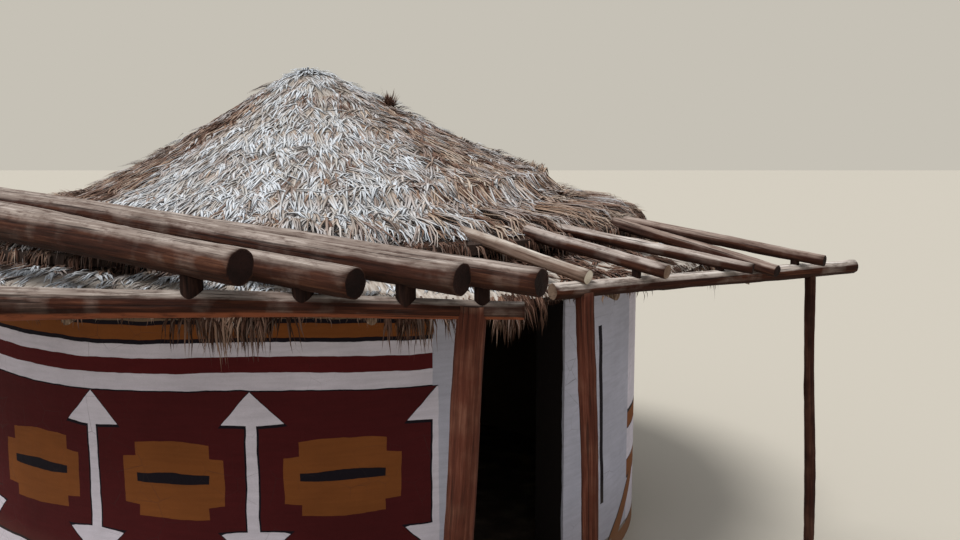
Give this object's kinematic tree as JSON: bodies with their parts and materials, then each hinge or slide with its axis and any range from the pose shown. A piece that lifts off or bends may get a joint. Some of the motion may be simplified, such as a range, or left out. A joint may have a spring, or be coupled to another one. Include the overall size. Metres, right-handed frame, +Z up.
{
  "type": "round thatched hut",
  "caption": "Round hut with painted earth walls, an open doorway, a low cone of thatch and a front veranda of bare logs on leaning posts.",
  "frame": {"origin": "on the ground at the round wall's own axis", "axes": "+Z up; -Y is the front, where the veranda stands; +X to the right when facing the front"},
  "size_m": [6.1378, 5.6651, 2.8],
  "materials": {
    "painted_earth": "limewashed and painted earth plaster",
    "beaten_earth": "smeared and beaten earth",
    "roof_poles": "bare sapling poles",
    "straw": "weathered grass thatch",
    "weathered_log": "peeled and weathered logs"
  },
  "bodies": {
    "root": {"floor": "beaten_earth", "threshold": "beaten_earth", "wall_front": "painted_earth", "wall_right_of_door": "painted_earth", "wall_right_rear": "painted_earth", "wall_rear": "painted_earth", "wall_rear_left": "painted_earth", "wall_left": "painted_earth", "wall_front_left": "painted_earth", "wall_over_door": "painted_earth", "lintel": "roof_poles", "wall_plate": "roof_poles", "rafters": "roof_poles", "crown_hoop": "roof_poles", "battens": "roof_poles", "thatch_cap": "straw", "thatch_upper_course": "straw", "thatch_eave_course": "straw", "thatch_skirt": "straw", "front_beam": "weathered_log", "right_beam": "weathered_log", "left_beam": "weathered_log", "front_post_right": "weathered_log", "front_post_left": "weathered_log", "right_post_near": "weathered_log", "right_post_far": "weathered_log", "left_post_near": "weathered_log", "left_post_far": "weathered_log", "long_log_1": "weathered_log", "long_log_2": "weathered_log", "long_log_3": "weathered_log", "long_log_4": "weathered_log", "short_log_1": "weathered_log", "short_log_2": "weathered_log", "short_log_3": "weathered_log", "short_log_4": "weathered_log", "short_log_5": "weathered_log", "packing_blocks": "weathered_log"}
  },
  "joints": []
}
